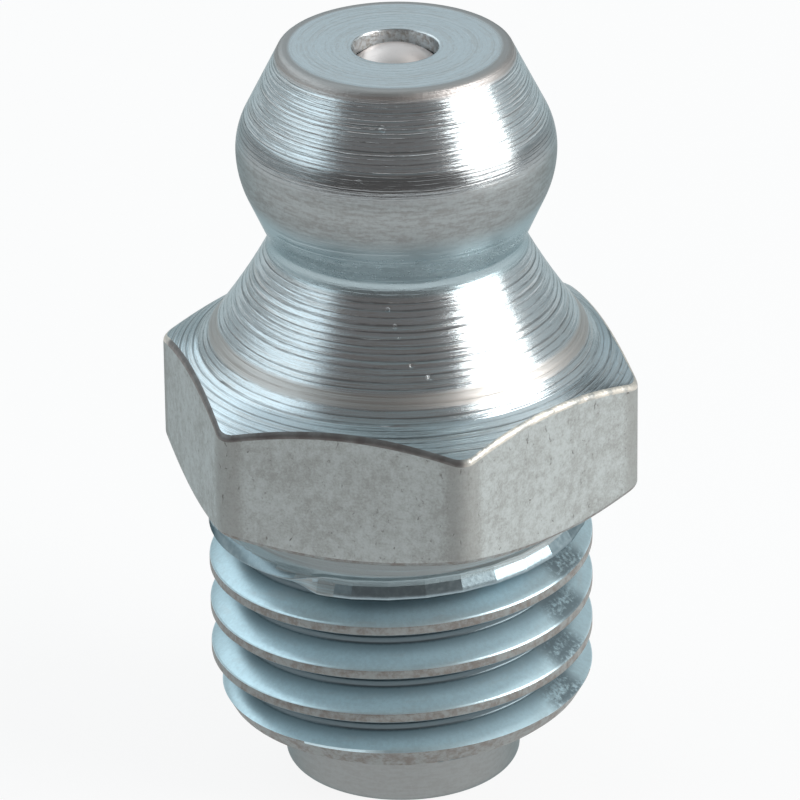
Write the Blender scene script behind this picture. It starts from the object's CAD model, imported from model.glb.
import random
from math import atan2, ceil, copysign, cos, hypot, pi, radians, sin, sqrt, tan
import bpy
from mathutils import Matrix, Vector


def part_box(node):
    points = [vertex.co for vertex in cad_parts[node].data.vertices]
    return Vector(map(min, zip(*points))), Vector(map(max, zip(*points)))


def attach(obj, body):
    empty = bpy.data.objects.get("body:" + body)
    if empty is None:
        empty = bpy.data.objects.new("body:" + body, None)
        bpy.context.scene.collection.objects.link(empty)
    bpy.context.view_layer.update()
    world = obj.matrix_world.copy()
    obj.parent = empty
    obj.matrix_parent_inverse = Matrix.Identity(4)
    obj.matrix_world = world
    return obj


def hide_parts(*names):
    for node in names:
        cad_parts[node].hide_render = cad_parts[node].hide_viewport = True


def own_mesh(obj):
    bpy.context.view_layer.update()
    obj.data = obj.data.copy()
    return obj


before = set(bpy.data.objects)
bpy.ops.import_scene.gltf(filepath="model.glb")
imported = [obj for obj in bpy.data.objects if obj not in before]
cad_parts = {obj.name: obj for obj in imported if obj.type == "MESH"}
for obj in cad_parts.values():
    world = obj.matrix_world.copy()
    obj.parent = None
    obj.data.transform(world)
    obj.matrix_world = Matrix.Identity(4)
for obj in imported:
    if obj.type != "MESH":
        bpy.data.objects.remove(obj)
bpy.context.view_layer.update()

from types import SimpleNamespace

import bmesh
import bpy
from bpy.props import FloatProperty, FloatVectorProperty, PointerProperty
from mathutils import Matrix, Vector

bl_info = {
    "name": "Grease nipple",
    "version": (1, 0, 0),
    "blender": (4, 5, 0),
    "location": "View3D > Sidebar > Nipple",
    "description": "A straight M8x1 grease nipple with its check ball, spring and studio",
    "category": "Object",
}

MM = 0.001
SIXTH = pi / 3
BODY_LOW, BODY_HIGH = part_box("nipple_body")
BALL_LOW, BALL_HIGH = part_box("check_ball")
SPRING_LOW, SPRING_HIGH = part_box("valve_spring")

# All lengths and heights from here on are in millimetres

# Hexagon
UPPER_CHAMFER = radians(26.5)
LOWER_CHAMFER = radians(24.0)
CHAMFER_SHIFT = 0.22  # how far the lower chamfer is off centre, towards +X
SHIFT_FADE = 0.2  # width over which that shift comes in
EDGE_MARGIN = 0.22  # strip beside the hexagon's edges that keeps its width
CORNER_GATHER = 0.6  # how strongly the steps round the axis gather at the corners
BORE_SKIN = 0.5  # faces this near the bore aren't milled
BURR_WIDTH = 0.2  # how far in from the flats the burr reaches
NEAR, VERY_NEAR = 0.02, 0.01  # within these, a face counts as part of what is beside it

# Thread, and its unfinished last turn, whose rises are measured from the middle of its crest
START_CHAMFER = radians(28.8)
THREAD_FLANK = radians(30.0)
ROOT_ROUNDING = 0.06
CREST_FOOT = 0.025
LAST_CREST = 5.5  # pitches from the lowest groove to the last crest, at +X
COLLAR_FOOT = 5.8
COLLAR_TAPER = 2.0  # how steeply the collar's filling narrows below its foot
FACETS = 32
TURN_FOOT = -0.5
WALL_RISES = -0.37, -0.08
CREST_RISES = -0.1, 0.1
WALL_STARTS = radians(-114), radians(-98)
CREST_STARTS = radians(-165), radians(-98)
TURN_ENDS = radians(25), radians(120)

# Leans of faces, from -1 facing down to 1 facing up, that part one finish from the next
CHAMFER_LEAN = 0.86
FLAT_LEAN = 0.12
CREST_LEAN = 0.26
UNDER_LEAN = -0.3
COLLAR_LEAN = -0.5

# Finishes of the last turn
THIN_RISES = -0.42, -0.07
ROLLED_WALL = radians(-117), radians(-96)
BARE_HEIGHT = 0.2  # how far bare metal climbs the crest where it does
BARE_STARTS = radians(-172), radians(-140)
BARE_ENDS = radians(-135), radians(-95)

# Soft edges between the finishes, each from one height to the other
SPIGOT_TOP = 1.5, 1.6
COLLAR_RINGS = 5.2, 5.3
BURNT_FOOT, BURNT_TOP = (9.76, 9.84), (9.96, 10.08)
NECK_FOOT, NECK_TOP = (11.62, 11.82), (13.3, 13.6)
FEED_CHANGE = 12.0, 12.5
DULL_FOOT, DULL_TOP = (12.6, 13.2), (13.95, 14.32)
BAND_FOOT, BAND_TOP = (13.9, 14.0), (14.5, 14.66)
RIM_FOOT, RIM_SIDE = (15.78, 15.88), (2.1, 2.2)
TOP_FACE = 15.93, 15.97

# Where round the axis the soot on the thread and the dirt on the hexagon's edge are
SMEAR = radians(-12)
GRIME = radians(-117)

# Small dents on the turned faces, each with its place and its radius
NICKS = (
    (0.43, -2.644, 15.331, 0.09), (0.065, -3.157, 14.37, 0.1), (1.501, -3.165, 10.281, 0.1),
    (1.133, -3.168, 10.484, 0.08), (0.529, -2.723, 11.449, 0.07), (0.706, -2.856, 11.154, 0.07),
    (0.83, -2.942, 10.964, 0.06), (4.665, 0.024, 9.213, 0.08),
)

# Sections: turning grooves are measured in feeds and in marks
FLARE_CHORDS = 8
BROKEN_EDGE = 0.02
LIP_EDGE = 0.03
ARC_CHORD = 0.05
STRAIGHT = radians(0.5)
GROOVE_WIDTHS = 0.55, 1.45
GROOVE_DEPTHS = 0.2, 0.5, 0.8, 1.2
GROOVE_FLOOR = 0.33, 0.67
MERGE = 0.001
SHARP_EDGE = radians(38)

# A full turn is SPIN_STEPS steps, doubled TURN_DOUBLINGS times, and the thread has eight turns
SPIN_STEPS = 3
TURN_DOUBLINGS = 6
THREAD_DOUBLINGS = TURN_DOUBLINGS + 3
STEPS_ROUND = SPIN_STEPS * 2**TURN_DOUBLINGS

# Spring
COILS = 12
COIL_DOUBLINGS = 6
COIL_STEPS = 48
WIRE_SIDES = 16
WIRE_EDGE = radians(60)

# Soft lamps: degrees from the camera and above the floor, distance, width and height in metres,
# brightness of the face, tint
SOFTBOXES = {
    "right_box": (73, 27, 0.3, 0.19, 0.22, 5.4, (1.0, 0.99, 0.97)),
    "left_box": (-113, 36, 0.3, 0.63, 0.17, 0.76, (0.82, 0.94, 1.0)),
}
LAMP_TARGET = Vector((0, 0, 0.008))


def size(name, description, millimetres):
    """A length property, with its default given in millimetres."""
    return FloatProperty(
        name=name, description=description, default=millimetres * MM, precision=5, unit="LENGTH"
    )


def angle(name, description, degrees):
    """An angle property, with its default given in degrees."""
    return FloatProperty(
        name=name, description=description, default=radians(degrees), subtype="ANGLE"
    )


def colour(name, description, rgb):
    """A colour property."""
    return FloatVectorProperty(
        name=name, description=description, default=rgb, size=3, min=0, max=1, subtype="COLOR"
    )


def in_millimetres(group):
    """The lengths of a group of lengths, as plain numbers in millimetres."""
    return SimpleNamespace(**{n: getattr(group, n) / MM for n in type(group).__annotations__})


def with_alpha(group):
    """The group's colours as four-number colours."""
    fields = {n: getattr(group, n) for n in type(group).__annotations__}
    return SimpleNamespace(**{n: (*c, 1.0) for n, c in fields.items() if not isinstance(c, float)})


# ---- properties ----


class NippleBodySizes(bpy.types.PropertyGroup):
    """Lengths of the turned, milled and threaded body."""

    length: size("Length", "From the spigot's end to the top face", BODY_HIGH.z / MM)
    thread_start: size("Thread start", "Height where the thread's chamfer begins", 1.56)
    seat: size("Seat", "Height of the hexagon's underside", 6.45)
    hexagon_top: size("Hexagon top", "Height where the flare meets the top chamfer", 9.5)
    top_corner: size("Top corner", "Radius where top face and cone would meet", 2.345)
    top_edge: size("Top edge", "Rounding between the top face and the cone", 0.16)
    head_radius: size("Head radius", "Largest radius of the head", 3.25)
    crown_upper_corner: size("Upper crown", "Depth where the cone meets the head's radius", 1.814)
    crown_upper: size("Upper crown rounding", "Rounding above the widest circle", 1.64)
    crown_lower_corner: size("Lower crown", "Depth where the underside meets the radius", 2.654)
    crown_lower: size("Lower crown rounding", "Rounding below the widest circle", 2.2)
    neck_radius: size("Neck radius", "Radius where underside and flare would meet", 2.585)
    neck_depth: size("Neck depth", "Depth of the neck below the top face", 4.14)
    neck_rounding: size("Neck rounding", "Rounding of the neck", 0.34)
    flare_hollow: size("Flare hollow", "How far the flare is hollowed", 0.07)
    flare_radius: size("Flare radius", "Radius where the flare meets the top chamfer", 4.09)
    flare_rounding: size("Flare rounding", "Rounding where the flare meets the chamfer", 0.6)
    across_flats: size("Across flats", "Width of the hexagon", (BODY_HIGH.y - BODY_LOW.y) / MM)
    corner_rounding: size("Corner rounding", "Radius of the hexagon's six edges", 0.45)
    blank_radius: size("Blank radius", "Radius of the round blank before milling", 5.2)
    hexagon_edge: size("Hexagon edge", "Rounding between flats and top chamfer", 0.15)
    hexagon_foot: size("Hexagon foot", "Rounding between flats and lower chamfer", 0.18)
    seat_outer: size("Seat outer", "Outer radius of the seat ring", 4.2)
    seat_inner: size("Seat inner", "Inner radius of the seat ring", 4.05)
    collar_radius: size("Collar radius", "Radius of the plain collar under the seat", 3.68)
    pitch: size("Pitch", "Rise of the thread in one turn", 1.0)
    crest_radius: size("Crest radius", "Outer radius of the thread", 3.97)
    root_radius: size("Root radius", "Inner radius of the thread", 3.4)
    root_flat: size("Root flat", "Width of the groove's bottom", 0.142)
    groove_height: size("Groove height", "Height of a groove where it crosses +X", 0.545)
    start_radius: size("Start radius", "Inner radius of the thread's starting chamfer", 3.64)
    crest_rounding: size("Crest rounding", "Rounding of a crest's upper edge", 0.08)
    wall_low: size("Wall low", "Radius of the last turn's wall at its foot", 3.91)
    wall_high: size("Wall high", "Radius of the last turn's wall at its top", 3.75)
    spigot_radius: size("Spigot radius", "Radius of the plain end", 2.45)
    spigot_edge: size("Spigot edge", "Rounding of the plain end's rim", 0.2)
    hole_radius: size("Hole radius", "Radius of the grease hole", 0.87)
    hole_depth: size("Hole depth", "Depth of the grease hole's straight part", 0.34)
    hole_edge: size("Hole edge", "Broken edge of the grease hole", 0.04)
    bore_radius: size("Bore radius", "Radius of the spring's bore", 1.45)
    lip_radius: size("Lip radius", "Radius of the opening in the bottom lip", 1.1)
    lip_top: size("Lip top", "Height of the lip's inner edge", 0.95)
    head_feed: size("Head feed", "Width of a groove on the head", 0.086)
    head_mark: size("Head mark", "Depth of the grooves on the head", 0.0045)
    flare_feed: size("Flare feed", "Width of a groove on the flare", 0.145)
    flare_mark: size("Flare mark", "Depth of the grooves on the flare", 0.007)
    top_feed: size("Top feed", "Width of a groove on the top face", 0.1)
    top_mark: size("Top mark", "Depth of the grooves on the top face", 0.003)


class NippleFinish(bpy.types.PropertyGroup):
    """Colours of the zinc plating and the steels."""

    zinc: colour("Zinc", "Clear bluish zinc on turned faces", (0.66, 0.72, 0.75))
    warm: colour("Warm", "Brownish tint in the tool marks", (0.52, 0.48, 0.45))
    groove: colour("Grooves", "Dark bottoms of the turning grooves", (0.22, 0.23, 0.235))
    top: colour("Top", "Paler zinc on the top face", (0.84, 0.77, 0.74))
    neck: colour("Neck", "Smooth dark zinc round the neck", (0.41, 0.5, 0.53))
    rim: colour("Rim", "Worn rim of the top face", (0.43, 0.39, 0.37))
    burnt: colour("Burnt", "Beige ring low on the flare", (0.5, 0.46, 0.43))
    dull: colour("Dull", "Matte zinc under the head", (0.35, 0.38, 0.385))
    dull_warm: colour("Dull warm", "Brownish stains in matte zinc", (0.26, 0.265, 0.26))
    under: colour("Undersides", "Thin zinc on the thread's undersides", (0.28, 0.355, 0.39))
    burr: colour("Burr", "Worn edge of the hexagon", (0.62, 0.58, 0.52))
    crest: colour("Crests", "Rolled crests of the thread", (0.31, 0.325, 0.32))
    crest_warm: colour("Warm crests", "Brownish stains on the crests", (0.225, 0.205, 0.19))
    flat: colour("Flats", "Zinc on the drawn hexagon faces", (0.52, 0.55, 0.545))
    flat_warm: colour("Warm flats", "Brownish stains on the flats", (0.33, 0.33, 0.315))
    pit: colour("Pits", "Dark pits on the flats", (0.12, 0.1, 0.09))
    thread: colour("Thread", "Zinc on the thread's flanks", (0.64, 0.8, 0.86))
    root: colour("Roots", "Dirt in the thread's grooves", (0.15, 0.19, 0.21))
    grime: colour("Grime", "Brown dirt on the hexagon's edge", (0.15, 0.135, 0.13))
    bore: colour("Bore", "Bare steel inside", (0.38, 0.37, 0.35))
    ball: colour("Ball", "Scuffed ball", (0.8, 0.69, 0.65))
    spring: colour("Spring", "Drawn spring wire", (0.4, 0.4, 0.41))
    edge: colour("Edge tint", "Plating at grazing angles", (0.5, 0.58, 0.6))


class StudioSettings(bpy.types.PropertyGroup):
    """Camera, lamps and floor."""

    azimuth: angle("Azimuth", "Camera angle from -Y towards +X", 15.2)
    elevation: angle("Elevation", "Camera angle above the floor", 25.95)
    roll: angle("Roll", "How far the camera leans to its right", 0.667)
    distance: size("Distance", "From the camera to its aim point", 147.9)
    aim_height: size("Aim height", "Height of the aim point on the axis", 8.1)
    aim_side: size("Aim side", "How far the aim point lies to the camera's right", 0.015)
    lens: FloatProperty(
        name="Lens", description="Focal length in millimetres", default=324.3, unit="CAMERA"
    )
    floor: colour("Floor", "Floor colour", (0.9, 0.9, 0.9))
    low: colour("Low walls", "Walls near the floor", (0.45, 0.49, 0.5))
    high: colour("High walls", "Walls above", (0.68, 0.8, 0.86))
    pale: colour("Pale corner", "Pale corner high up behind", (0.9, 0.98, 1.0))
    dark: colour("Dark corner", "Dark stand behind", (0.08, 0.09, 0.09))
    front: colour("Front", "Dark strip on the camera's side", (0.175, 0.164, 0.162))
    overhead: colour("Overhead", "Dark strip overhead", (0.22, 0.27, 0.28))
    floor_size: size("Floor size", "Side of the square floor", 420.0)


# ---- shader nodes ----


def both_ways(operation):
    """An operator and its reflected form, each of which adds that Math node."""
    return (
        lambda self, other: self.nodes.math(operation, self, other),
        lambda self, other: self.nodes.math(operation, other, self),
    )


class Number:
    """A number socket that takes Python's arithmetic by adding Math nodes."""

    __add__, __radd__ = both_ways("ADD")
    __sub__, __rsub__ = both_ways("SUBTRACT")
    __mul__, __rmul__ = both_ways("MULTIPLY")
    __truediv__, __rtruediv__ = both_ways("DIVIDE")

    def __init__(self, nodes, socket):
        self.nodes, self.socket = nodes, socket

    def math(self, operation, *others):
        return self.nodes.math(operation, self, *others)


class Nodes:
    """The node tree of a material or a world."""

    def __init__(self, owner):
        owner.use_nodes = True
        self.tree = owner.node_tree
        self.tree.nodes.clear()

    def add(self, kind, inputs=None, **settings):
        """A shader node, with its settings made first and its sockets given values or links."""
        node = self.tree.nodes.new("ShaderNode" + kind)
        for name, value in settings.items():
            setattr(node, name, value)
        for name, value in (inputs or {}).items():
            if isinstance(value, Number):
                value = value.socket
            if isinstance(value, bpy.types.NodeSocket):
                self.tree.links.new(value, node.inputs[name])
            else:
                node.inputs[name].default_value = value
        return node

    def math(self, operation, *values):
        node = self.add("Math", dict(enumerate(values)), operation=operation)
        return Number(self, node.outputs[0])

    def vector_math(self, operation, inputs, output=0):
        return self.add("VectorMath", inputs, operation=operation).outputs[output]

    def clamp(self, value):
        """The value kept between 0 and 1."""
        return Number(self, self.add("Clamp", {0: value}).outputs[0])

    def dot(self, vector, fixed):
        """Dot product with a fixed vector."""
        return Number(self, self.vector_math("DOT_PRODUCT", {0: vector, 1: fixed}, "Value"))

    def ramp(self, value, low, high):
        """0 below low, 1 above high and smooth between."""
        node = self.add("MapRange", {0: value, 1: low, 2: high}, interpolation_type="SMOOTHSTEP")
        return Number(self, node.outputs[0])

    def mix(self, factor, first, second):
        return self.add("Mix", {0: factor, 6: first, 7: second}, data_type="RGBA").outputs[2]

    def layered(self, base, *layers):
        """A colour with others laid over it in turn, each given as its share and its colour."""
        for share, shade in layers:
            base = self.mix(share, base, shade)
        return base

    def noise(self, *values):
        """Noise, from a vector, scale, detail, roughness and distortion."""
        names = "Vector", "Scale", "Detail", "Roughness", "Distortion"
        node = self.add("TexNoise", dict(zip(names, values)))
        return Number(self, node.outputs[0])

    def rings(self, east, north, height, around, upward, detail, roughness):
        """Noise drawn out into rings, with one scale round the axis and one along it."""
        place = self.add("CombineXYZ", {0: east * around, 1: north * around, 2: height * upward})
        return self.noise(place.outputs[0], 1.0, detail, roughness)

    def surface_point(self):
        """The surface point in millimetres, as a vector."""
        point = self.add("TexCoord").outputs["Object"]
        return self.vector_math("SCALE", {0: point, "Scale": 1 / MM})

    def turned_point(self, point):
        """Radius, height and direction round the axis of a point."""
        x, y, z = (Number(self, s) for s in self.add("SeparateXYZ", {0: point}).outputs)
        radius = (x * x + y * y).math("SQRT")
        safe = radius.math("MAXIMUM", 0.01)
        return radius, z, x / safe, y / safe


def metal(looks_of, finish):
    """A metallic material named after looks_of(nodes, finish), which gives its sockets' values."""
    material = bpy.data.materials.new(looks_of.__name__)
    nodes = Nodes(material)
    looks = looks_of(nodes, finish)
    inputs = {"Height": looks.pop("height"), "Distance": looks.pop("depth") * MM}
    bump = nodes.add("Bump", inputs)
    looks["Roughness"] = nodes.clamp(looks["Roughness"])
    inputs = {"Metallic": 1.0, "Normal": bump.outputs[0], **looks}
    shader = nodes.add("BsdfPrincipled", inputs)
    nodes.add("OutputMaterial", {"Surface": shader.outputs[0]})
    return material


# ---- finishes ----


def turned_zinc(nodes, finish):
    """Turned faces: crisp and bluish on the cones, matte under the head and on the spigot."""
    point = nodes.surface_point()
    radius, z, east, north = nodes.turned_point(point)
    along = z - radius
    lines = nodes.rings(east, north, along, 0.7, 8.0, 3.0, 0.65)
    drag = nodes.rings(east, north, along, 9.0, 30.0, 2.0, 0.7)
    streak = nodes.rings(east, north, along, 9.0, 16.0, 3.0, 0.6)
    cloud = nodes.noise(point, 1.3, 3.0, 0.6)
    grain = nodes.noise(point, 13.0, 3.0, 0.65)

    below_band = 1.0 - nodes.ramp(z + drag * 0.1, *DULL_TOP)
    spigot = 1.0 - nodes.ramp(z, *SPIGOT_TOP)
    matte = (nodes.ramp(z, *DULL_FOOT) * below_band).math("MAXIMUM", spigot)
    neck = nodes.ramp(z + drag * 0.1, *NECK_FOOT) * (1.0 - nodes.ramp(z, *NECK_TOP))
    band = nodes.clamp(1.0 - below_band - nodes.ramp(z + drag * 0.12, *BAND_TOP))
    band = band * nodes.ramp(z, *BAND_FOOT)
    rim = nodes.ramp(z + drag * 0.04, *RIM_FOOT) * nodes.ramp(radius, *RIM_SIDE)
    burnt = nodes.ramp(z + drag * 0.08, *BURNT_FOOT) * (1.0 - nodes.ramp(z, *BURNT_TOP))
    top = nodes.ramp(z, *TOP_FACE)

    feed = 5.0 + nodes.ramp(z, *FEED_CHANGE) * 3.7
    wave = ((along + lines * 0.12) * feed).math("PINGPONG", 0.5) * 2.0
    groove = nodes.ramp(wave, 0.5, 0.95) * nodes.ramp(lines * 0.6 + drag * 0.4, 0.36, 0.6)
    groove = groove * (1.0 - top * 0.75)
    cut = nodes.ramp(lines * 0.7 + drag * 0.3, 0.5, 0.6)
    stain = nodes.ramp(drag * 0.5 + grain * 0.3 + cloud * 0.2, 0.42, 0.62)
    smear = nodes.ramp(streak * 0.65 + grain * 0.35, 0.38, 0.64)
    bright = nodes.layered(
        finish.zinc,
        (stain * 0.25 + cut * 0.3, finish.warm),
        (groove * 0.8, finish.groove),
        (burnt * 0.8, finish.burnt),
        (band * 0.7, finish.groove),
        (top * 0.35, finish.top),
        (rim * 0.85, finish.rim),
        (neck, finish.neck),
    )
    dirt = smear * (0.85 - spigot * 0.6) + spigot * 0.55
    dull = nodes.mix(dirt, finish.dull, finish.dull_warm)

    rough = 0.14 + drag * 0.09 + grain * 0.06 + matte * 0.17 + rim * 0.22
    marks = (lines * 1.0 + drag * 0.45 - groove * 0.5) * (1.0 - matte * 0.7)
    height = marks + grain * (matte * 0.5 + rim * 0.8 + 0.12)
    for *place, reach in NICKS:
        gap = Number(nodes, nodes.vector_math("DISTANCE", {0: point, 1: place}, "Value"))
        height = height - (1.0 - nodes.ramp(gap + grain * 0.1 - 0.05, 0.0, reach)) * 1.2
    return {
        "Base Color": nodes.mix(matte, bright, dull),
        "Metallic": 1.0 - neck * 0.05,
        "Roughness": rough + neck * 0.07 + burnt * 0.18,
        "Specular Tint": finish.edge,
        "height": height,
        "depth": 0.008,
    }


def milled_zinc(nodes, finish):
    """Faces of the drawn hexagon bar: matte and mottled, with small dark pits."""
    point = nodes.surface_point()
    cloud = nodes.noise(point, 1.1, 3.0, 0.6)
    mottle = nodes.noise(point, 5.0, 4.0, 0.7)
    grain = nodes.noise(point, 20.0, 3.0, 0.7)
    tall = nodes.vector_math("MULTIPLY", {0: point, 1: (1.0, 1.0, 0.5)})
    speck = nodes.noise(tall, 8.0, 2.0, 0.5, 1.5)
    pit = nodes.ramp(speck + mottle * 0.35, 0.83, 1.0)
    stain = nodes.ramp(mottle * 0.5 + cloud * 0.3 + grain * 0.2, 0.38, 0.64)
    corners = nodes.ramp(nodes.turned_point(point)[0] + grain * 0.08, 4.86, 4.98)
    base = nodes.layered(
        finish.flat,
        (stain * 0.75, finish.flat_warm),
        (corners * 0.65, finish.flat_warm),
        (pit * 0.7, finish.pit),
    )
    return {
        "Base Color": base,
        "Metallic": 0.6,
        "Roughness": 0.6 + grain * 0.1,
        "Specular Tint": finish.edge,
        "height": grain * 0.35 + mottle * 0.55 - pit * 0.9,
        "depth": 0.012,
    }


def threaded_zinc(nodes, finish):
    """The thread's upper flanks: smooth and bluish, with a sooty smear."""
    point = nodes.surface_point()
    radius, z, east, north = nodes.turned_point(point)
    drag = nodes.rings(east, north, z + radius, 3.0, 9.0, 3.0, 0.6)
    grain = nodes.noise(point, 11.0, 3.0, 0.65)
    cloud = nodes.noise(point, 2.2, 3.0, 0.6)
    stain = nodes.ramp(grain * 0.6 + cloud * 0.4, 0.4, 0.62)
    smear = nodes.ramp(east * cos(SMEAR) + north * sin(SMEAR), 0.978, 0.998)
    outer = nodes.ramp(radius, 3.4, 3.74)
    root = 1.0 - nodes.ramp(radius + grain * 0.04, 3.43, 3.48)
    soot = smear * nodes.ramp(grain * 0.5 + drag * 0.5, 0.33, 0.53)
    flank = nodes.mix(stain * 0.25, finish.thread, finish.neck)
    base = nodes.layered(
        nodes.mix(outer, finish.under, flank),
        (nodes.ramp(drag, 0.55, 0.75) * 0.2, finish.warm),
        (root, finish.root),
        (soot * 0.92, finish.root),
    )
    return {
        "Base Color": base,
        "Metallic": 0.8,
        "Roughness": 0.28 + grain * 0.12 + soot * 0.2,
        "Specular Tint": finish.edge,
        "height": grain * 0.16 + drag * 0.3 + soot * 0.2,
        "depth": 0.008,
    }


def undercut_zinc(nodes, finish):
    """The thread's undersides and unfinished last crest: thinly plated, so darker and duller."""
    grain = nodes.noise(nodes.surface_point(), 9.0, 3.0, 0.6)
    return {
        "Base Color": nodes.mix(nodes.ramp(grain, 0.4, 0.7) * 0.4, finish.under, finish.neck),
        "Roughness": 0.24 + grain * 0.18,
        "Specular Tint": (0.12, 0.13, 0.13, 1.0),
        "height": grain,
        "depth": 0.004,
    }


def rolled_zinc(nodes, finish):
    """Rolled crests, starting chamfer, hexagon's foot and ringed collar: matte and grainy."""
    point = nodes.surface_point()
    radius, z, east, north = nodes.turned_point(point)
    grain = nodes.noise(point, 9.0, 4.0, 0.7)
    cloud = nodes.noise(point, 3.0, 2.0, 0.6)
    lines = nodes.rings(east, north, z, 0.6, 14.0, 2.0, 0.6)
    collar = nodes.ramp(z, *COLLAR_RINGS) * (1.0 - nodes.ramp(radius, 3.95, 4.0))
    stain = nodes.ramp(grain * 0.55 + cloud * 0.45, 0.4, 0.62)
    crest = nodes.mix(stain, finish.crest, finish.crest_warm)
    ringed = nodes.mix(nodes.ramp(lines, 0.4, 0.6), finish.dull, finish.neck)
    return {
        "Base Color": nodes.mix(collar, crest, ringed),
        "Metallic": 0.45,
        "Specular IOR Level": 0.2,
        "Roughness": 0.42 + grain * 0.15,
        "height": grain + collar * lines,
        "depth": 0.016,
    }


def burred_zinc(nodes, finish):
    """The burred edge between the flats and the top chamfer: worn warm grey, dirty on one side."""
    point = nodes.surface_point()
    _, _, east, north = nodes.turned_point(point)
    dent = nodes.noise(point, 3.0, 3.0, 0.6)
    grain = nodes.noise(point, 14.0, 2.0, 0.6)
    dirty = nodes.ramp(east * cos(GRIME) + north * sin(GRIME), 0.53, 0.56)
    clean = nodes.mix(nodes.ramp(dent, 0.46, 0.62) * 0.7, finish.burr, finish.crest)
    grimy = nodes.mix(nodes.ramp(dent, 0.3, 0.75) * 0.35, finish.grime, finish.crest)
    return {
        "Base Color": nodes.mix(dirty, clean, grimy),
        "Metallic": 0.7,
        "Roughness": 0.36 + grain * 0.12,
        "height": dent * 0.9 + grain * 0.15,
        "depth": 0.035,
    }


def drilled_steel(nodes, finish):
    """Drilled faces inside the nipple, with zinc in patches."""
    point = nodes.surface_point()
    _, z, east, north = nodes.turned_point(point)
    ring = nodes.rings(east, north, z, 2.0, 12.0, 3.0, 0.7)
    grain = nodes.noise(point, 11.0, 3.0, 0.7)
    return {
        "Base Color": nodes.mix(nodes.ramp(grain, 0.4, 0.7), finish.zinc, finish.bore),
        "Roughness": 0.25 + ring * 0.25,
        "height": ring * 0.5 + grain * 0.6,
        "depth": 0.02,
    }


def polished_steel(nodes, finish):
    """The ball: polished, with faint scuffs."""
    scuff = nodes.noise(nodes.surface_point(), 5.0, 4.0, 0.7, 1.0)
    return {
        "Base Color": nodes.mix(nodes.ramp(scuff, 0.5, 0.8) * 0.25, finish.ball, finish.bore),
        "Roughness": 0.28 + scuff * 0.16,
        "height": scuff,
        "depth": 0.002,
    }


def spring_steel(nodes, finish):
    """The spring: drawn wire."""
    streak = nodes.noise(nodes.surface_point(), 9.0, 3.0, 0.7, 0.6)
    return {
        "Base Color": nodes.mix(streak, finish.spring, finish.pit),
        "Roughness": 0.28 + streak * 0.2,
        "height": streak,
        "depth": 0.004,
    }


BODY_FINISHES = (
    turned_zinc, milled_zinc, threaded_zinc, undercut_zinc, rolled_zinc, burred_zinc, drilled_steel,
)


# ---- section outline ----


def corner(radius, height, rounding=0.0, step=0.2, feed=0.0, mark=0.0):
    """A corner of a section: its rounding, and how the run from it to the next corner is divided.

    A run with a feed gets turning grooves that wide and up to that mark deep.
    """
    return SimpleNamespace(
        at=Vector((radius, height)), rounding=rounding, step=step, feed=feed, mark=mark
    )


def flare_corners(s):
    """The hollow flare between the hexagon's chamfer and the neck, as short chords of an arc."""
    low = Vector((s.flare_radius, s.hexagon_top))
    high = Vector((s.neck_radius, s.length - s.neck_depth))
    inward = Vector((-(high - low).y, (high - low).x)).normalized()
    corners = []
    for i in range(1, FLARE_CHORDS):
        share = i / FLARE_CHORDS
        place = low.lerp(high, share) + inward * s.flare_hollow * 4 * share * (1 - share)
        depth = s.flare_mark * (0.55 + 0.75 * share)
        corners.append(corner(place.x, place.y, feed=s.flare_feed, mark=depth))
    return corners


def body_corners(s):
    """The body's section, from the seat up over the head, down the bore and out to the spigot."""
    chamfer_top = s.hexagon_top - (s.blank_radius - s.flare_radius) * tan(UPPER_CHAMFER)
    chamfer_low = s.seat + (s.blank_radius - s.seat_outer) * tan(LOWER_CHAMFER)
    neck = s.length - s.neck_depth
    hole_end = s.length - s.hole_depth
    bore_top = hole_end - (s.bore_radius - s.hole_radius)
    lip_end = s.lip_top - (s.bore_radius - s.lip_radius)
    return [
        corner(s.seat_inner, s.seat, step=0.08),
        corner(s.seat_outer, s.seat, BROKEN_EDGE, step=0.14),
        corner(s.blank_radius, chamfer_low, s.hexagon_foot, step=0.04),
        corner(s.blank_radius, chamfer_low + EDGE_MARGIN),
        corner(s.blank_radius, chamfer_top - EDGE_MARGIN, step=0.04),
        corner(s.blank_radius, chamfer_top, s.hexagon_edge, step=0.12),
        corner(
            s.flare_radius, s.hexagon_top, s.flare_rounding,
            feed=s.flare_feed, mark=s.flare_mark / 2,
        ),
        *flare_corners(s),
        corner(s.neck_radius, neck, s.neck_rounding, step=0.05),
        corner(s.head_radius, s.length - s.crown_lower_corner, s.crown_lower),
        corner(
            s.head_radius, s.length - s.crown_upper_corner, s.crown_upper,
            feed=s.head_feed, mark=s.head_mark,
        ),
        corner(s.top_corner, s.length, s.top_edge, feed=s.top_feed, mark=s.top_mark),
        corner(s.hole_radius, s.length, s.hole_edge, step=0.08),
        corner(s.hole_radius, hole_end, BROKEN_EDGE, step=0.1),
        corner(s.bore_radius, bore_top, step=4.0),
        corner(s.bore_radius, s.lip_top),
        corner(s.lip_radius, lip_end),
        corner(s.lip_radius, 0, LIP_EDGE, step=0.14),
        corner(s.spigot_radius, 0, s.spigot_edge, step=0.16),
        corner(s.spigot_radius, s.thread_start),
    ]


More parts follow.
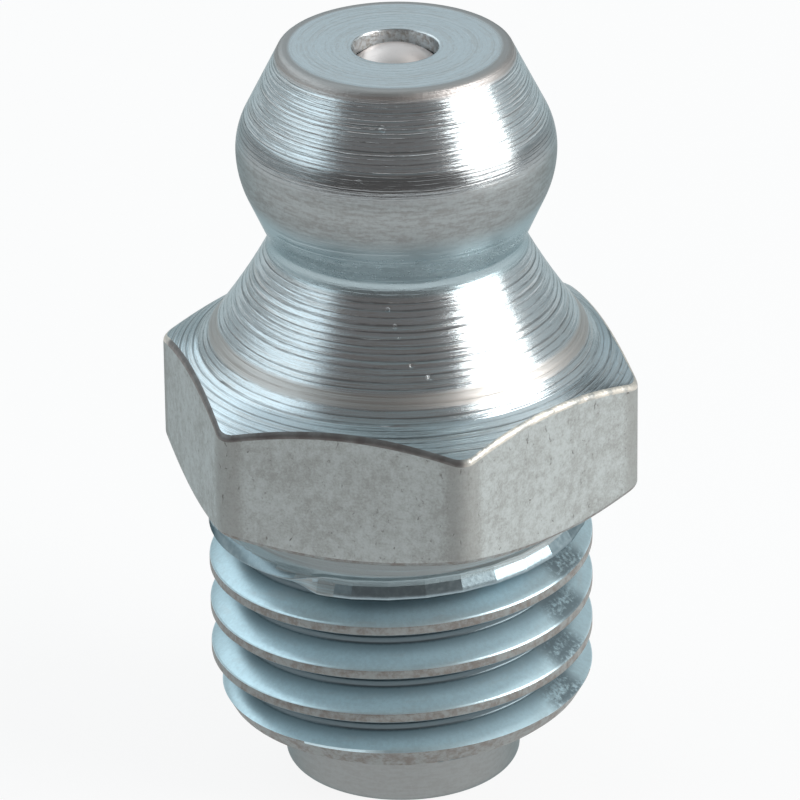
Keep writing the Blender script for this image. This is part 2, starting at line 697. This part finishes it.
def thread_corners(s):
    """One pitch of the thread's section, from the middle of a groove to the middle of the next."""
    half_root = s.root_flat / 2
    flank = (s.crest_radius - s.root_radius) * tan(THREAD_FLANK)
    start = s.groove_height - 2 * s.pitch
    end = start + s.pitch
    return [
        corner(s.root_radius, start, step=0.05),
        corner(s.root_radius, start + half_root, ROOT_ROUNDING, step=0.12),
        corner(s.crest_radius, start + half_root + flank, CREST_FOOT, step=0.07),
        corner(s.crest_radius, end - half_root - flank, s.crest_rounding, step=0.12),
        corner(s.root_radius, end - half_root, ROOT_ROUNDING, step=0.05),
        corner(s.root_radius, end),
    ]


def arc_points(before, here, after):
    """The rounding of one corner, from the run that reaches it to the run that leaves it."""
    arriving = (here.at - before.at).normalized()
    leaving = (after.at - here.at).normalized()
    turn = arriving.angle_signed(leaving) if here.rounding else 0.0
    if abs(turn) < STRAIGHT:
        return [here.at]
    reach = here.rounding * tan(abs(turn) / 2)
    start = here.at - arriving * reach
    side = Vector((-arriving.y, arriving.x)) * copysign(1, -turn)
    centre = start + side * here.rounding
    pieces = max(3, ceil(abs(turn) * here.rounding / ARC_CHORD))
    spoke = start - centre
    return [centre + Matrix.Rotation(-turn * i / pieces, 2) @ spoke for i in range(pieces + 1)]


def run_points(start, end, run, rng):
    """Points inside a straight run, each with True where two turning grooves meet in a ridge."""
    whole = end - start
    if not run.feed:
        count = max(1, ceil(whole.length / run.step))
        return [(start + whole * i / count, False) for i in range(1, count)]
    along = whole.normalized()
    inward = Vector((-along.y, along.x))
    grooves = max(1, round(whole.length / run.feed))
    widths = [rng.uniform(*GROOVE_WIDTHS) for _ in range(grooves)]
    unit = whole.length / sum(widths)
    points, travelled = [], 0.0
    for width in widths:
        width *= unit
        depth = run.mark * rng.choice(GROOVE_DEPTHS) * min(1.0, width / run.feed)
        points.append((start + along * travelled, True))
        for share in GROOVE_FLOOR:
            points.append((start + along * (travelled + width * share) + inward * depth, False))
        travelled += width
    return points if start == run.at else points[1:]


def walk(corners, seed):
    """Points along a section, each with True where it is a ridge between turning grooves."""
    rng = random.Random(seed)
    arcs = [arc_points(*trio) for trio in zip(corners, corners[1:], corners[2:])]
    arcs = [[corners[0].at], *arcs, [corners[-1].at]]
    points = [(corners[0].at, False)]
    for last, here, run in zip(arcs, arcs[1:], corners):
        inner = run_points(last[-1], here[0], run, rng)
        if inner and inner[0][1] and (inner[0][0] - points[-1][0]).length < MERGE:
            points.pop()
        points += inner + [(place, False) for place in here]
    return points


def sweep(bm, turn, climb, steps, doublings):
    """Spins an outline in a few steps, then doubles the result that many times round the axis."""
    bmesh.ops.spin(
        bm, geom=bm.verts[:] + bm.edges[:], cent=(0, 0, 0), axis=(0, 0, 1),
        dvec=(0, 0, climb / steps), angle=turn, steps=steps,
    )
    for _ in range(doublings):
        copied = bmesh.ops.duplicate(bm, geom=bm.verts[:] + bm.edges[:] + bm.faces[:])["geom"]
        verts = [item for item in copied if isinstance(item, bmesh.types.BMVert)]
        bmesh.ops.rotate(bm, verts=verts, matrix=Matrix.Rotation(turn, 3, "Z"))
        bmesh.ops.translate(bm, verts=verts, vec=(0, 0, climb))
        turn *= 2
        climb *= 2
    bmesh.ops.remove_doubles(bm, verts=bm.verts, dist=MERGE)


def turn_section(points, doublings, rise=0.0):
    """Turns a section round the axis; with a rise, each full turn also climbs by it."""
    bm = bmesh.new()
    ridge = bm.verts.layers.int.new("ridge")
    verts = [bm.verts.new((p.x, 0, p.y)) for p, _ in points]
    for vert, (_, is_ridge) in zip(verts, points):
        vert[ridge] = int(is_ridge)
    for pair in zip(verts, verts[1:]):
        bm.edges.new(pair)
    turn = 2 * pi / STEPS_ROUND * SPIN_STEPS
    sweep(bm, turn, rise / STEPS_ROUND * SPIN_STEPS, SPIN_STEPS, doublings)
    return bm


# ---- body ----


def hexagon_radius(angle, s):
    """Distance from the axis to the rounded hexagon, whose first corner is at +X."""
    off = abs((angle + SIXTH / 2) % SIXTH - SIXTH / 2)
    apothem = s.across_flats / 2
    centre = (apothem - s.corner_rounding) / cos(SIXTH / 2)
    end = centre + s.corner_rounding * cos(SIXTH / 2)
    if off < atan2(s.corner_rounding * sin(SIXTH / 2), end):
        return centre * cos(off) + sqrt(s.corner_rounding**2 - (centre * sin(off)) ** 2)
    return apothem / cos(SIXTH / 2 - off)


def share_between(value, low, high):
    """0 at low, 1 at high and straight between."""
    return min(1.0, max(0.0, (value - low) / (high - low)))


def smooth_share(value, low, high):
    """0 at low, 1 at high and smooth between."""
    t = share_between(value, low, high)
    return t * t * (3 - 2 * t)


def mill_hexagon(bm, s):
    """Moves the round blank's skin in to the hexagon, and its chamfers along their cones."""
    middle = (s.seat + s.hexagon_top) / 2
    neck = s.length - s.neck_depth
    for v in bm.verts:
        x, y, z = v.co
        radius = hypot(x, y)
        if z < s.seat - MERGE or z > neck or radius < s.bore_radius + BORE_SKIN:
            continue
        angle = atan2(y, x)
        share = 1 - smooth_share(z, s.hexagon_top, neck)
        angle -= share * CORNER_GATHER / 6 * sin(6 * angle)
        top = z > middle
        inner = s.flare_radius if top else s.seat_outer
        if radius > inner and z < s.hexagon_top:
            slope = -tan(UPPER_CHAMFER) if top else tan(LOWER_CHAMFER)
            edge = hexagon_radius(angle, s)
            depth = s.blank_radius - radius
            if depth < EDGE_MARGIN:
                moved = edge - depth
            else:
                left = (radius - inner) / (s.blank_radius - EDGE_MARGIN - inner)
                moved = inner + left * (edge - EDGE_MARGIN - inner)
            z += (moved - radius) * slope
            if not top:
                off_centre = CHAMFER_SHIFT * max(0.0, cos(angle)) ** 2
                z -= slope * off_centre * min(1.0, (moved - inner) / SHIFT_FADE)
            radius = moved
        v.co = (radius * cos(angle), radius * sin(angle), z)


def cut_across(bm, height, keep=None):
    """Cuts the mesh at a height, and throws away the part that isn't kept."""
    bmesh.ops.bisect_plane(
        bm, geom=bm.verts[:] + bm.edges[:] + bm.faces[:], dist=1e-4,
        plane_co=(0, 0, height), plane_no=(0, 0, 1),
        clear_outer=keep == "BELOW", clear_inner=keep == "ABOVE",
    )


def last_crest(angle, s):
    """Height of the last crest at an angle round the axis."""
    return s.groove_height + (LAST_CREST + angle / (2 * pi)) * s.pitch


def run_out(rise, s):
    """Radius and height of the unfinished last turn, for a rise above its crest's middle."""
    floor = s.collar_radius
    stops = (
        (TURN_FOOT, s.root_radius, TURN_FOOT), (-0.41, s.root_radius + 0.06, -0.39),
        (-0.361, s.wall_low - 0.005, -0.325), (-0.31, s.wall_low, -0.285),
        (-0.107, s.wall_high, -0.015), (-0.085, s.wall_high - 0.005, 0.025),
        (-0.016, floor, 0.055), (0.054, floor + 0.02, 0.09), (0.2, floor + 0.02, 0.2),
        (9.0, floor + 0.02, 9.0),
    )
    for (low, low_radius, low_rise), (high, high_radius, high_rise) in zip(stops, stops[1:]):
        if rise <= high:
            share = max(0.0, (rise - low) / (high - low))
            radius = low_radius + share * (high_radius - low_radius)
            return radius, low_rise + share * (high_rise - low_rise)


def finish_thread(bm, s):
    """Cuts the swept thread to length, chamfers its start and leaves the last turn unfinished."""
    ridge = bm.verts.layers.int.get("ridge")
    corner_radius = s.seat_inner - s.collar_radius
    cut_across(bm, s.thread_start, "ABOVE")
    cut_across(bm, s.seat - 0.02, "BELOW")
    cut_across(bm, s.thread_start + (s.crest_radius - s.start_radius) / tan(START_CHAMFER))
    for v in bm.verts:
        x, y, z = v.co
        radius = hypot(x, y)
        angle = atan2(y, x)
        limit = s.start_radius + (z - s.thread_start) * tan(START_CHAMFER)
        drop = s.seat - z
        collar = s.collar_radius
        if drop < corner_radius:
            collar = s.seat_inner - sqrt(corner_radius**2 - (corner_radius - drop) ** 2)
        low_collar = collar - COLLAR_TAPER * max(0.0, COLLAR_FOOT - z)
        wanted = max(radius, low_collar)
        rise = z - last_crest(angle, s)
        wall = smooth_share(angle, *WALL_STARTS)
        crest = smooth_share(angle, *CREST_STARTS)
        share = wall + (crest - wall) * share_between(rise, *CREST_RISES)
        if rise > TURN_FOOT and share and drop > 0.03:
            gone = smooth_share(angle, *TURN_ENDS)
            left, moved = run_out(rise, s)
            left += gone * (min(left, s.collar_radius) - left)
            left = max(left, collar if drop < corner_radius else gone * low_collar)
            if WALL_RISES[0] < rise < WALL_RISES[1]:
                facet = 2 * pi / FACETS
                off = (angle + 1e-6) % facet - facet / 2
                left *= cos(facet / 2) / cos(off)
                v[ridge] = int(wall > 0.5 and abs(abs(off) - facet / 2) < 1e-3)
            wanted += share * (left - wanted)
            z += share * (moved - rise)
        wanted = min(wanted, limit)
        v.co = (x * wanted / radius, y * wanted / radius, z)


def add_mesh(bm, other):
    """Adds another bmesh to this one."""
    mesh = bpy.data.meshes.new("part")
    other.to_mesh(mesh)
    other.free()
    bm.from_mesh(mesh)
    bpy.data.meshes.remove(mesh)


def join_thread(bm, s):
    """Bridges the thread's two open ends to the spigot and to the seat."""
    foot = s.thread_start - VERY_NEAR, s.thread_start + VERY_NEAR
    head = s.seat - 0.05, s.seat + VERY_NEAR
    for low, high in (foot, head):
        edges = [
            e for e in bm.edges
            if e.is_boundary and all(low < v.co.z < high for v in e.verts)
        ]
        bmesh.ops.bridge_loops(bm, edges=edges)


def body_finish(face, s):
    """Which of the finishes a face of the body has."""
    centre = face.calc_center_median()
    radius = hypot(centre.x, centre.y)
    if radius < s.bore_radius + VERY_NEAR and NEAR < centre.z < s.length - NEAR:
        return drilled_steel
    lean = face.normal.z
    if s.seat + VERY_NEAR < centre.z < s.hexagon_top and lean < CHAMFER_LEAN:
        if lean < FLAT_LEAN:
            return rolled_zinc if lean < -FLAT_LEAN else milled_zinc
        if radius > s.across_flats / 2 - BURR_WIDTH:
            return burred_zinc
    if s.thread_start - VERY_NEAR < centre.z < s.seat + MERGE:
        angle = atan2(centre.y, centre.x)
        rise = centre.z - last_crest(angle, s)
        on_collar = centre.z > COLLAR_FOOT - VERY_NEAR and radius < s.collar_radius + 2 * NEAR
        if on_collar and lean > COLLAR_LEAN:
            return rolled_zinc
        thin_low, thin_high = THIN_RISES
        if thin_low < rise < thin_high:
            return rolled_zinc if ROLLED_WALL[0] < angle < ROLLED_WALL[1] else undercut_zinc
        if rise > thin_low:
            bare = BARE_HEIGHT * smooth_share(angle, *BARE_STARTS) + thin_high
            bare -= BARE_HEIGHT * smooth_share(angle, *BARE_ENDS)
            return undercut_zinc if rise < bare else rolled_zinc
        if lean < UNDER_LEAN:
            below = s.start_radius + (centre.z - s.thread_start) * tan(START_CHAMFER) - radius
            return rolled_zinc if below < NEAR else undercut_zinc
        on_crest = radius > s.crest_radius - NEAR and lean < CREST_LEAN
        return rolled_zinc if on_crest else threaded_zinc
    return turned_zinc


def mark_sharp(bm, limit=SHARP_EDGE):
    """Smooth faces, with the edges above that angle kept crisp."""
    ridge = bm.verts.layers.int.get("ridge")
    for face in bm.faces:
        face.smooth = True
    for edge in bm.edges:
        on_ridge = ridge and all(v[ridge] for v in edge.verts)
        edge.smooth = not on_ridge and edge.calc_face_angle(0.0) < limit


def new_object(name, data):
    """An object in the scene that shows the data."""
    thing = bpy.data.objects.new(name, data)
    bpy.context.scene.collection.objects.link(thing)
    return thing


def to_object(bm, name, finishes, body, replaced):
    """Turns the mesh, made in millimetres, into a piece of the object with those finishes."""
    bmesh.ops.recalc_face_normals(bm, faces=bm.faces)
    bmesh.ops.scale(bm, vec=(MM, MM, MM), verts=bm.verts)
    mesh = bpy.data.meshes.new(name)
    bm.to_mesh(mesh)
    bm.free()
    piece = new_object(name, mesh)
    finish = with_alpha(bpy.context.scene.nipple_finish)
    for looks_of in finishes:
        mesh.materials.append(metal(looks_of, finish))
    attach(piece, body)
    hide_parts(replaced)
    return piece


class OBJECT_OT_nipple_body(bpy.types.Operator):
    """Build the turned and threaded body"""

    bl_idname = "object.nipple_body"
    bl_label = "Nipple body"

    def execute(self, context):
        s = in_millimetres(context.scene.nipple_body)
        thread = turn_section(walk(thread_corners(s), seed=1), THREAD_DOUBLINGS, rise=s.pitch)
        finish_thread(thread, s)
        bm = turn_section(walk(body_corners(s), seed=2), TURN_DOUBLINGS)
        mill_hexagon(bm, s)
        add_mesh(bm, thread)
        join_thread(bm, s)
        bmesh.ops.recalc_face_normals(bm, faces=bm.faces)
        for face in bm.faces:
            face.material_index = BODY_FINISHES.index(body_finish(face, s))
        mark_sharp(bm)
        to_object(bm, "body", BODY_FINISHES, "housing", "nipple_body")
        return {"FINISHED"}


# ---- ball and spring ----


class OBJECT_OT_check_ball(bpy.types.Operator):
    """Build the ball that closes the grease hole"""

    bl_idname = "object.nipple_ball"
    bl_label = "Check ball"

    def execute(self, context):
        centre = (BALL_LOW + BALL_HIGH) / 2 / MM
        radius = (BALL_HIGH.z - BALL_LOW.z) / 2 / MM
        bm = bmesh.new()
        place = Matrix.Translation(centre)
        bmesh.ops.create_icosphere(bm, subdivisions=6, radius=radius, matrix=place)
        mark_sharp(bm)
        to_object(bm, "ball", [polished_steel], "ball", "check_ball")
        return {"FINISHED"}


class OBJECT_OT_valve_spring(bpy.types.Operator):
    """Build the spring under the ball"""

    bl_idname = "object.nipple_spring"
    bl_label = "Valve spring"

    wire: size("Wire", "Radius of the wire", 0.15)

    def execute(self, context):
        wire = self.wire / MM
        low, high = SPRING_LOW / MM, SPRING_HIGH / MM
        mean = (high.x - low.x) / 2 - wire
        rise = (high.z - low.z - 2 * wire) / COILS
        tilt = Matrix.Rotation(pi / 2 + atan2(rise, 2 * pi * mean), 3, "X")
        bm = bmesh.new()
        ring = bmesh.ops.create_circle(bm, segments=WIRE_SIDES, radius=wire)["verts"]
        bmesh.ops.rotate(bm, verts=ring, matrix=tilt)
        bmesh.ops.translate(bm, verts=ring, vec=(mean, 0, low.z + wire))
        parts = 2**COIL_DOUBLINGS
        turn, climb = 2 * pi * COILS / parts, rise * COILS / parts
        sweep(bm, turn, climb, COILS * COIL_STEPS // parts, COIL_DOUBLINGS)
        bmesh.ops.holes_fill(bm, edges=[e for e in bm.edges if e.is_boundary], sides=0)
        mark_sharp(bm, WIRE_EDGE)
        piece = to_object(bm, "spring", [spring_steel], "housing", "valve_spring")
        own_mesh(piece)
        return {"FINISHED"}


# ---- studio ----


def aim(thing, place, target):
    """Puts a lamp or camera at a place, looking at the target."""
    thing.location = place
    thing.rotation_mode = "QUATERNION"
    thing.rotation_quaternion = (target - place).to_track_quat("-Z", "Y")


def direction(azimuth, elevation):
    """Unit vector with that azimuth from -Y towards +X, and that height above the floor."""
    level = cos(elevation)
    return Vector((sin(azimuth) * level, -cos(azimuth) * level, sin(elevation)))


def softbox(name, azimuth, elevation, distance, width, height, radiance, tint):
    """A rectangular soft lamp that looks at the nipple, with a given brightness of its face."""
    lamp = bpy.data.lights.new(name, "AREA")
    lamp.shape = "RECTANGLE"
    lamp.size = width
    lamp.size_y = height
    lamp.energy = radiance * pi * width * height
    lamp.color = tint
    aim(new_object(name, lamp), direction(azimuth, elevation) * distance, LAMP_TARGET)


def studio_camera(settings):
    """The camera, rolled a little to its right."""
    back = direction(settings.azimuth, settings.elevation)
    right = Vector((cos(settings.azimuth), sin(settings.azimuth), 0))
    target = right * settings.aim_side + Vector((0, 0, settings.aim_height))
    data = bpy.data.cameras.new("camera")
    data.lens = settings.lens
    data.clip_start = 0.01
    data.clip_end = 10.0
    camera = new_object("camera", data)
    aim(camera, target + back * settings.distance, target)
    lean = Matrix.Rotation(-settings.roll, 4, "Z").to_quaternion()
    camera.rotation_quaternion = camera.rotation_quaternion @ lean
    bpy.context.scene.camera = camera


def studio_world(settings):
    """A room that is paler overhead at the sides, with a dark strip from the camera's side up."""
    world = bpy.data.worlds.new("room")
    bpy.context.scene.world = world
    nodes = Nodes(world)
    room = with_alpha(settings)
    way = nodes.add("TexCoord").outputs["Generated"]
    front = direction(settings.azimuth, 0)
    across = nodes.dot(way, (-front.y, front.x, 0))
    towards = nodes.dot(way, front)
    up = nodes.dot(way, (0, 0, 1))

    def patch(azimuth, elevation, inner, outer):
        """A round patch in a direction, whose edge fades between two angles from its middle."""
        middle = direction(settings.azimuth + radians(azimuth), radians(elevation))
        return nodes.ramp(nodes.dot(way, middle), cos(radians(outer)), cos(radians(inner)))

    behind = nodes.ramp(towards * -1.0, 0.72, 0.95) * nodes.ramp(up, 0.05, 0.4)
    walls = nodes.layered(
        room.low,
        (nodes.clamp(nodes.ramp(up, 0.35, 0.85) + behind * 0.95), room.high),
        (patch(129, 58, 8, 24), room.pale),
        (patch(139, 36, 5, 12), room.dark),
    )
    low = 1.0 - nodes.ramp(up, 0.1, 0.24)
    half = towards.math("MAXIMUM", 0.0) * 0.72 + 0.29 + low * 0.36
    aside = across.math("ABSOLUTE") - half
    strip = (1.0 - nodes.ramp(aside, -0.12, 0.22)) * nodes.ramp(towards, -0.6, -0.15)
    dark = nodes.layered(
        room.front,
        (nodes.ramp(up, 0.6, 0.97), room.overhead),
        (nodes.ramp(up, 0.93, 0.99) * 0.2, room.high),
    )
    shade = nodes.mix(strip, walls, dark)
    background = nodes.add("Background", {"Color": shade})
    nodes.add("OutputWorld", {"Surface": background.outputs[0]})


def studio_floor(settings):
    """A plain pale floor with a faint grain."""
    bm = bmesh.new()
    bmesh.ops.create_grid(bm, x_segments=8, y_segments=8, size=settings.floor_size / 2)
    mesh = bpy.data.meshes.new("floor")
    bm.to_mesh(mesh)
    bm.free()
    floor = new_object("floor", mesh)
    material = bpy.data.materials.new("floor")
    nodes = Nodes(material)
    grain = nodes.noise(nodes.surface_point(), 0.05, 2.0)
    base = nodes.mix(grain * 0.06, with_alpha(settings).floor, (0.8, 0.8, 0.8, 1))
    matte = nodes.add("BsdfPrincipled", {"Base Color": base, "Roughness": 0.9})
    white = nodes.add("Emission", {"Color": (1, 1, 1, 1)})
    path = nodes.add("LightPath").outputs
    kinds = ("Is Camera Ray", "Is Glossy Ray", "Is Transmission Ray")
    seen = sum((Number(nodes, path[kind]) for kind in kinds), start=0.0)
    share = nodes.clamp(seen) * 0.88
    inputs = {0: share, 1: matte.outputs[0], 2: white.outputs[0]}
    shader = nodes.add("MixShader", inputs)
    nodes.add("OutputMaterial", {"Surface": shader.outputs[0]})
    mesh.materials.append(material)


class SCENE_OT_nipple_studio(bpy.types.Operator):
    """Set up the floor, the soft lamps, the room and the camera"""

    bl_idname = "scene.nipple_studio"
    bl_label = "Studio"

    def execute(self, context):
        settings = context.scene.nipple_studio
        studio_floor(settings)
        studio_world(settings)
        studio_camera(settings)
        for name, (azimuth, elevation, *rest) in SOFTBOXES.items():
            softbox(name, settings.azimuth + radians(azimuth), radians(elevation), *rest)
        context.scene.view_settings.view_transform = "Standard"
        return {"FINISHED"}


# ---- panel and registration ----


class VIEW3D_PT_nipple(bpy.types.Panel):
    """Sidebar panel that lists the builders and their settings"""

    bl_label = "Grease nipple"
    bl_idname = "VIEW3D_PT_nipple"
    bl_space_type = "VIEW_3D"
    bl_region_type = "UI"
    bl_category = "Nipple"

    def draw(self, context):
        for operator in OPERATORS:
            self.layout.operator(operator.bl_idname)
        for name in GROUPS:
            group = getattr(context.scene, name)
            box = self.layout.box()
            for field in group.__annotations__:
                box.prop(group, field)


OPERATORS = (
    OBJECT_OT_nipple_body, OBJECT_OT_check_ball, OBJECT_OT_valve_spring, SCENE_OT_nipple_studio,
)
GROUPS = {
    "nipple_body": NippleBodySizes,
    "nipple_finish": NippleFinish,
    "nipple_studio": StudioSettings,
}
add_classes, remove_classes = bpy.utils.register_classes_factory(
    (*GROUPS.values(), *OPERATORS, VIEW3D_PT_nipple)
)


def register():
    add_classes()
    for name, group in GROUPS.items():
        setattr(bpy.types.Scene, name, PointerProperty(type=group))


def unregister():
    for name in GROUPS:
        delattr(bpy.types.Scene, name)
    remove_classes()


def main():
    register()
    bpy.ops.object.nipple_body()
    bpy.ops.object.nipple_ball()
    bpy.ops.object.nipple_spring()
    bpy.ops.scene.nipple_studio()


if __name__ == "__main__":
    main()
